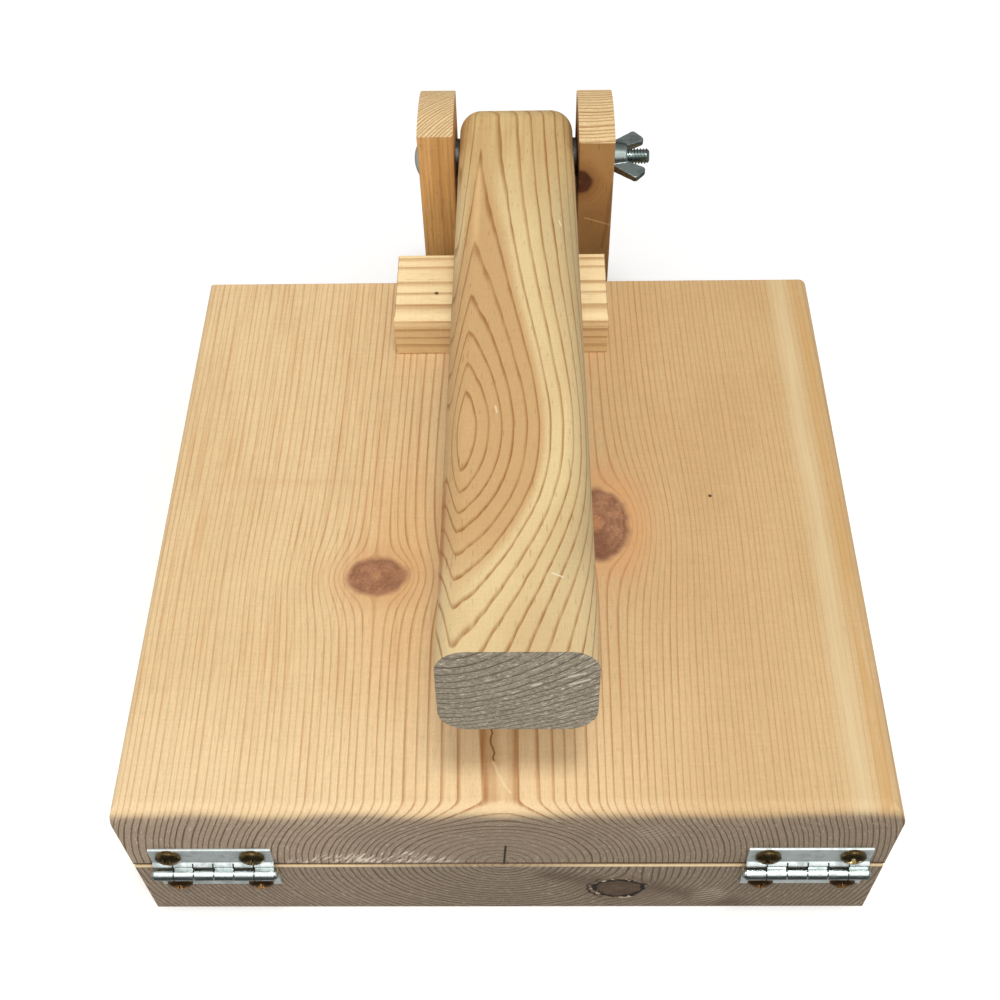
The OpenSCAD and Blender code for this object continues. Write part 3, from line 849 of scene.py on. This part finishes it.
def recess_wing(top):
    """One bar of a cross recess, with its floor shorter and narrower than its mouth."""
    height = RECESS_DEPTH + 1.0
    wing = bar((RECESS_SPAN, RECESS_W, height), top - RECESS_DEPTH + height / 2)
    select("DESELECT")
    shape = bmesh.from_edit_mesh(wing.data)
    for face in shape.faces:
        face.select_set(face.normal.z < -0.5)
    bmesh.update_edit_mesh(wing.data)
    bpy.ops.transform.resize(value=RECESS_TAPER, center_override=(0, 0, 0))
    leave_edit()
    return settle(wing)


def cut_recess(head, top):
    """Cuts a cross recess into a head along Z whose crown is at the height top."""
    for turn in (0, 90):
        wing = settle(recess_wing(top), about("Z", turn))
        combine(head, wing, "DIFFERENCE")
    return soften(head, 0.08, bevelled=30, smoothed=24)


def pan_screw(half, height, rim, stem, shank):
    """A pan head screw along Z, with the underside of its head at 0. half and stem are radii."""
    crown = [(half * step / 9, rim + (height - rim) * (1 - (step / 9) ** 3.2)) for step in range(10)]
    body = [(half, rim * 0.4), (half - 0.25, 0.0), (stem, 0.0), (stem, 5 - shank)]
    return cut_recess(turned("pan_screw", crown + body + [(0.2, -shank), (0.0, -shank)]), height)


def flat_screw(half, stem, shank):
    """A countersunk screw along Z, with the face of its head at 0."""
    profile = [(0.0, 0.0), (half - 0.15, 0.0), (half, -0.15), (stem, stem - half)]
    profile += [(stem, 6 - shank), (0.2, -shank), (0.0, -shank)]
    return cut_recess(turned("flat_screw", profile), 0.0)


HINGE_SCREW_R = 1.8
HINGE_SCREW_RIM = 1.3
HINGE_SCREW_H = 2.5
WOOD_SCREW_R = 2.1
LEAF_T = 1.0
SCREW_TURNS = {
    "left_upper_screws": (22, 60),
    "left_lower_screws": (5, 70),
    "right_upper_screws": (40, 12),
    "right_lower_screws": (75, 30),
    "left_upright_screws": (15, 52),
    "right_upright_screws": (33, 80),
}


def drive(node, master, spots, facing, body, material):
    """Puts copies of a screw drawn along Z at two spots, each stopped at its own turn."""
    screws = []
    for spot, turn in zip(spots, SCREW_TURNS[node]):
        place = shift(*spot) @ facing @ about("Z", turn)
        screws.append(settle(another(master, "screw"), place))
    bpy.data.objects.remove(master)
    finish(joined(f"{node}_driven", screws), body, material, node)


def add_hinge_screws(material):
    """Two pan head screws in each leaf."""
    face_y = FRONT_Y - LEAF_T * MM
    for leaf in ("left_upper", "left_lower", "right_upper", "right_lower"):
        low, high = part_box(f"{leaf}_screws")
        half = (high.z - low.z) / MM / 2
        master = pan_screw(half, HINGE_SCREW_H, HINGE_SCREW_RIM, HINGE_SCREW_R, (high.y - face_y) / MM)
        spots = [(x, face_y, (low.z + high.z) / 2) for x in (low.x + half * MM, high.x - half * MM)]
        drive(f"{leaf}_screws", master, spots, FACE_FRONT, "lid" if "upper" in leaf else "base", material)


def add_upright_screws(material):
    """Two countersunk screws behind each upright."""
    for side in ("left", "right"):
        low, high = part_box(f"{side}_upright_screws")
        half = (high.x - low.x) / MM / 2
        master = flat_screw(half, WOOD_SCREW_R, (high.y - low.y) / MM)
        spots = [((low.x + high.x) / 2, high.y, z) for z in (low.z + half * MM, high.z - half * MM)]
        drive(f"{side}_upright_screws", master, spots, FACE_BACK, "base", material)


BOLT_D = 6.35
THREAD_PITCH = 1.27
THREAD_DEPTH = 0.55
HEAD_RIM = 0.8
NECK_LEN = 5.0
TIP_CHAMFER = 0.9


def add_bolt(material, thread_material):
    """A carriage bolt: a domed head, a square neck, a plain shank and a cut thread."""
    low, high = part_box("pivot_bolt")
    start = LEFT_LOW.x
    head_h = (start - low.x) / MM
    half = (high.z - low.z) / 2 / MM
    length = (high.x - start) / MM
    thread_start = (RIGHT_HIGH.x - start) / MM + 1.0
    rise = head_h - HEAD_RIM
    dome = (half ** 2 + rise ** 2) / (2 * rise)
    edge = half - 0.3
    crown = [(edge * step / 12, sqrt(dome ** 2 - (edge * step / 12) ** 2) - dome + head_h)
             for step in range(13)]
    lip = [(half, HEAD_RIM * 0.75), (half, HEAD_RIM * 0.3), (half - 0.3, 0.0)]
    stem = [(BOLT_D / 2, 0.0), (BOLT_D / 2, -thread_start), (0.0, -thread_start)]
    shank = turned("bolt_shank", crown + lip + stem)
    neck = bar((BOLT_D, BOLT_D, NECK_LEN), -NECK_LEN / 2)
    leave_edit()
    combine(shank, settle(neck), "UNION")
    smooth(shank, 35)
    place = shift(start, PIVOT.y, PIVOT.z)
    settle(shank, place @ about("Y", -90))
    finish(shank, "base", material, "pivot_bolt")
    thread = cut_thread(length - thread_start)
    settle(thread, place @ LAY_ALONG_X @ shift(0, 0, thread_start * MM))
    finish(thread, "base", thread_material, "pivot_bolt")


def cut_thread(length):
    """A threaded rod from 0 up to length, with a chamfered tip."""
    crest = BOLT_D / 2
    base = crest - THREAD_DEPTH
    tooth = [(base, 0.0), (base, 0.14), (crest - 0.1, 0.34), (crest, 0.44), (crest, 0.56),
             (crest - 0.1, 0.66), (base, 0.86), (base, 1.0)]
    points = [Vector((out, 0.0, up * THREAD_PITCH - THREAD_PITCH)) * MM for out, up in tooth]
    thread = start_line("bolt_thread", points)
    leave_edit()
    settle(thread)
    turns = ceil(length / THREAD_PITCH) + 3
    modify(thread, "SCREW", axis="Z", angle=tau, screw_offset=THREAD_PITCH * MM,
           iterations=turns, steps=40, use_merge_vertices=True, merge_threshold=DOUBLES * MM)
    edit(thread)
    for height, side in ((0.0, -1), (length, 1)):
        select()
        bpy.ops.mesh.bisect(plane_co=(0, 0, height * MM), plane_no=(0, 0, side), use_fill=True,
                            clear_outer=True)
    close_up(thread)
    tip = [(0.0, -1.0), (crest + 0.2, -1.0), (crest + 0.2, length - TIP_CHAMFER - 0.2)]
    tip += [(crest - TIP_CHAMFER, length), (0.0, length)]
    combine(thread, turned("tip", tip), "INTERSECT")
    return smooth(thread, 25)


WASHER_HOLE_D = 6.95
WASHER_EASE = 0.35


def add_washers(material):
    """Two stamped washers, rounded on the die's side."""
    for node in ("left_washer", "right_washer"):
        low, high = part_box(node)
        thick = (high.x - low.x) / MM
        outer = (high.z - low.z) / 2 / MM
        inner = WASHER_HOLE_D / 2
        eased = arc(WASHER_EASE, 0, 90, 4, (outer - WASHER_EASE, thick - WASHER_EASE))
        profile = [(inner, 0.0), (outer, 0.0)] + eased
        profile += [(inner + 0.15, thick), (inner, thick - 0.15), (inner, 0.0)]
        washer = smooth(turned(f"{node}_stamped", profile, 64), 35)
        settle(washer, shift(low.x, PIVOT.y, PIVOT.z) @ LAY_ALONG_X)
        finish(washer, "base", material, node)


HUB_D = 12.6
HUB_TOP_D = 10.6
HUB_H = 6.6
OUTER_CORNER = (11.3, 9.6)
INNER_CORNER = (8.4, 12.4)
WING_CORNER_R = 1.5
WING_ROOT_T = 3.9
WING_TIP_T = 2.8
WING_TURN = 9
NUT_VOXEL = 0.22


def add_wing_nut(material):
    """A cast wing nut: hub and wings grown together with soft fillets, then bored."""
    bore = BOLT_D / 2 + 0.05
    hub = turned("wing_nut_cast", [(0.0, 0.0), (HUB_D / 2 - 0.4, 0.0), (HUB_D / 2, 0.4),
                                   (HUB_TOP_D / 2, HUB_H - 0.4), (HUB_TOP_D / 2 - 0.4, HUB_H), (0.0, HUB_H)])
    for side in (1, -1):
        combine(hub, nut_wing(side), "UNION")
    modify(hub, "REMESH", mode="VOXEL", voxel_size=NUT_VOXEL * MM)
    modify(hub, "SMOOTH", factor=0.5, iterations=5)
    hole = turned("bore", [(0.0, -2.0), (bore, -2.0), (bore, HUB_H + 8), (0.0, HUB_H + 8)])
    combine(hub, hole, "DIFFERENCE")
    smooth(hub, 40)
    place = shift(RIGHT_HIGH.x, PIVOT.y, PIVOT.z)
    settle(hub, place @ about("X", WING_TURN) @ LAY_ALONG_X)
    finish(hub, "nut", material, "wing_nut")


def nut_wing(side):
    """One wing beside a hub that stands on Z, thick at its root and thin at its tip."""
    outline = [(1.0, 0.0), (HUB_D / 2, 0.0)] + arc(WING_CORNER_R, -36, 47, 6, OUTER_CORNER)
    outline += arc(WING_CORNER_R, 47, 155, 8, INNER_CORNER) + [(BOLT_D / 2 + 0.9, HUB_H), (1.0, HUB_H - 0.5)]
    wing = start_line("wing", [Vector((0.0, side * out, up)) * MM for out, up in outline])
    bpy.ops.mesh.edge_face_add()
    bpy.ops.transform.translate(value=(-WING_ROOT_T / 2 * MM, 0, 0))
    bpy.ops.mesh.extrude_region_move(TRANSFORM_OT_translate={"value": (WING_ROOT_T * MM, 0, 0)})
    select("DESELECT")
    shape = bmesh.from_edit_mesh(wing.data)
    for vertex in shape.verts:
        place = wing.matrix_world @ vertex.co
        vertex.select_set(abs(place.y) > HUB_D / 2 * MM and place.z > HUB_H * MM)
    bmesh.update_edit_mesh(wing.data)
    bpy.ops.transform.resize(value=(WING_TIP_T / WING_ROOT_T, 1.0, 1.0), center_override=(0, 0, 0))
    return close_up(wing)


BRAD_DIMPLE = 0.25


def add_brads(material):
    """Two finishing nails with dimpled heads, set below the block's top."""
    low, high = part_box("block_brads")
    radius = (high.y - low.y) / 2 / MM
    length = (high.z - low.z) / MM
    profile = [(0.0, -BRAD_DIMPLE), (radius * 0.35, -BRAD_DIMPLE), (radius * 0.7, 0.0), (radius, -0.15)]
    profile += [(radius, -length), (0.0, -length)]
    brads = []
    for x in (low.x + radius * MM, high.x - radius * MM):
        brad = smooth(turned("brad", profile, 24), 35)
        brads.append(settle(brad, shift(x, (low.y + high.y) / 2, high.z)))
    finish(joined("sunken_brads", brads), "lid", material, "block_brads")


# ---- hinges ----

BARREL_R = 2.3
ROLL_INNER_R = 1.26
PIN_D = 2.4
PIN_OUT = 3.0
LEAF_FRONT = PIN_OUT - LEAF_T
LEAF_EDGE_R = 0.7
STEP_TOP_Z = 5.4
STEP_LOW = (0.5, 4.3)
CUT_Z = STEP_TOP_Z - 0.3
KNUCKLES = 6
KNUCKLE_GAP = 0.44
ROLL_END_ANGLE = 78
ROLL_START_ANGLE = 40


def hinge_leaf(length, reach, first_knuckle):
    """A leaf, stepped out from the wood and rolled into every second knuckle round a pin along X."""
    step_y, step_z = STEP_LOW
    edge = arc(LEAF_EDGE_R, 180, 90, 6, (LEAF_FRONT + LEAF_EDGE_R, reach - LEAF_EDGE_R))
    step = [(LEAF_FRONT, STEP_TOP_Z + 0.5), (LEAF_FRONT - 0.15, STEP_TOP_Z)]
    step += [(step_y + 0.15, step_z + 0.15), STEP_LOW, (step_y, step_z - 0.35)]
    under = [(step_y + 1.0, step_z - 0.7), (PIN_OUT, STEP_TOP_Z - 0.5), (PIN_OUT, reach)]
    leaf = slab("leaf", step + under + edge[::-1], -length / 2, length)
    wall = [(step_y + 1.1, step_z - 0.3), (step_y + 0.1, step_z - 0.1), (step_y + 0.02, BARREL_R)]
    inside = arc(ROLL_INNER_R, ROLL_START_ANGLE, ROLL_END_ANGLE - 360, 36)
    outside = arc(BARREL_R, ROLL_END_ANGLE - 360, 10, 40)
    wide = length / KNUCKLES
    for index in range(first_knuckle, KNUCKLES, 2):
        start = -length / 2 + index * wide + KNUCKLE_GAP / 3
        combine(leaf, slab("knuckle", wall + inside + outside, start, wide - KNUCKLE_GAP / 1.5), "UNION")
    for index in range(1, KNUCKLES):
        start = -length / 2 + index * wide - KNUCKLE_GAP / 2
        far = BARREL_R + 1
        cut = [(-far, -far), (-far, CUT_Z), (PIN_OUT + 1, CUT_Z), (PIN_OUT + 1, -far)]
        combine(leaf, slab("saw_cut", cut, start, KNUCKLE_GAP), "DIFFERENCE")
    return soften(leaf, 0.06, bevelled=40, smoothed=18)


def hinge_pin(length):
    """A pin along Z with its ends riveted over."""
    rivet_r = 1.9
    rivet_h = 1.2
    head = arc(1.0, 90, 0, 8)
    top = [(out * rivet_r, length / 2 + up * rivet_h) for out, up in head]
    bottom = [(out, -up) for out, up in reversed(top)]
    stem = [(PIN_D / 2, length / 2), (PIN_D / 2, -length / 2)]
    return smooth(turned("hinge_pin", top + stem + bottom, 40), 40)


def add_hinges(material):
    """Two butt hinges across the seam, each of a lower leaf, an upper leaf and a pin."""
    low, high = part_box("left_upper_leaf")
    length = (high.x - low.x) / MM
    reach = (high.z - SEAM_Z) / MM
    lower = flip_down(hinge_leaf(length, reach, 0))
    upper = hinge_leaf(length, reach, 1)
    pin = settle(hinge_pin(length), LAY_ALONG_X)
    for side in ("left", "right"):
        low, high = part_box(f"{side}_upper_leaf")
        axis = shift((low.x + high.x) / 2, FRONT_Y - PIN_OUT * MM, SEAM_Z)
        for master, part, node, body in (
                (lower, "lower_rolled_leaf", "lower_leaf", "base"),
                (upper, "upper_rolled_leaf", "upper_leaf", "lid"),
                (pin, "riveted_pin", "hinge_pin", "base")):
            piece = settle(another(master, f"{side}_{part}"), axis)
            finish(piece, body, material, f"{side}_{node}")
    for master in (lower, upper, pin):
        bpy.data.objects.remove(master)


def flip_down(leaf):
    """Mirrors a leaf below its pin and turns its faces out again."""
    edit(leaf)
    bpy.ops.transform.mirror(constraint_axis=(False, False, True), center_override=(0, 0, 0))
    bpy.ops.mesh.normals_make_consistent(inside=False)
    leave_edit()
    return leaf


# ---- floor, lights and camera ----

FLOOR_HALF = 4.0
FLOOR_TONE = (254, 254, 253)
FLOOR_MOTTLE = (244, 244, 243)
FLOOR_GLOW = 0.14
SOFTBOX_SIZE = 2.8
SOFTBOX_PLACE = Vector((0.1, -1.35, 2.1))
SOFTBOX_WATTS = 29
LAMP_SIZE = 0.45
LAMP_PLACE = Vector((0.15, -0.55, 2.5))
LAMP_WATTS = 24
ROOM_DARK = (0.06, 0.062, 0.064, 1.0)
ROOM_LIT = (0.46, 0.463, 0.465, 1.0)
ROOM_SIDES = (0.5, 0.503, 0.505, 1.0)
ROOM_BELOW = (0.45, 0.455, 0.445, 1.0)
CAMERA_PLACE = Vector((6.234, -314.914, 480.030)) * MM
CAMERA_HEADING = 0.02823
CAMERA_TILT = radians(90) - 0.91648
CAMERA_ROLL = -0.02857
CAMERA_LENS = 49.08


def add_floor():
    bpy.ops.mesh.primitive_plane_add(size=2 * FLOOR_HALF)
    floor = bpy.context.object
    floor.name = "floor"
    place = object_place(new_material("floor_paper"))
    mottle = place.per(400).noise(2.0)
    color = mottle.tint(FLOOR_TONE, FLOOR_MOTTLE)
    floor.data.materials.append(place.surface(color, mottle * 0.1 + 0.85, glow=FLOOR_GLOW))
    floor.visible_glossy = False


def add_light(name, size, place, watts):
    """A square light that faces the press."""
    light = bpy.data.lights.new(name, "AREA")
    light.size = size
    light.energy = watts
    lamp = bpy.data.objects.new(name, light)
    lamp.location = place
    lamp.rotation_euler = (-place).to_track_quat("-Z", "Y").to_euler()
    scene.collection.objects.link(lamp)


def add_lights():
    """A big soft box, a smaller lamp that draws the shadows, and a dim room around them."""
    add_light("softbox", SOFTBOX_SIZE, SOFTBOX_PLACE, SOFTBOX_WATTS)
    add_light("lamp", LAMP_SIZE, LAMP_PLACE, LAMP_WATTS)
    wire = emptied(bpy.data.worlds.new("room"))
    side, _, up = wire.add("TexCoord", output=0).parts()
    color = up.rise(0.05, 0.65).tint(ROOM_DARK, ROOM_LIT)
    color = (abs(side).rise(0.5, 0.95) * 0.8).tint(color, ROOM_SIDES)
    color = up.rise(-0.8, -0.97).tint(color, ROOM_BELOW)
    background = wire.add("Background", {"Color": color, "Strength": 1.0})
    wire.add("OutputWorld", {"Surface": background})
    scene.world = wire.owner


def add_camera():
    lens = bpy.data.cameras.new("camera")
    lens.lens = CAMERA_LENS
    lens.clip_start = 0.01
    camera = bpy.data.objects.new("camera", lens)
    turn = Matrix.Rotation(CAMERA_HEADING, 4, "Z") @ Matrix.Rotation(CAMERA_TILT, 4, "X")
    turn = turn @ Matrix.Rotation(CAMERA_ROLL, 4, "Z")
    camera.matrix_world = shift(*CAMERA_PLACE) @ turn
    scene.collection.objects.link(camera)
    scene.camera = camera
    scene.view_settings.view_transform = "Standard"


# ---- the press ----

WOOD = {"lid_board": lid_pine, "base_board": base_pine, "press_block": block_pine,
        "left_upright": left_upright_pine, "right_upright": right_upright_pine, "handle": handle_pine}


def dress_wood():
    """Puts its own wood into the slots of each wooden CAD node."""
    for node, wood in WOOD.items():
        material = wood()
        for slot in frame["nodes"][node].material_slots:
            slot.material = material


def add_fittings():
    zinc = zinc_plate()
    yellow = yellow_zinc()
    dull = cast_zinc()
    add_bolt(zinc, dull)
    add_washers(shaded_dull_zinc())
    add_wing_nut(dull)
    add_brads(brad_steel())
    add_hinges(zinc)
    add_hinge_screws(yellow)
    add_upright_screws(yellow)


add_camera()
add_lights()
add_floor()
dress_wood()
add_fittings()
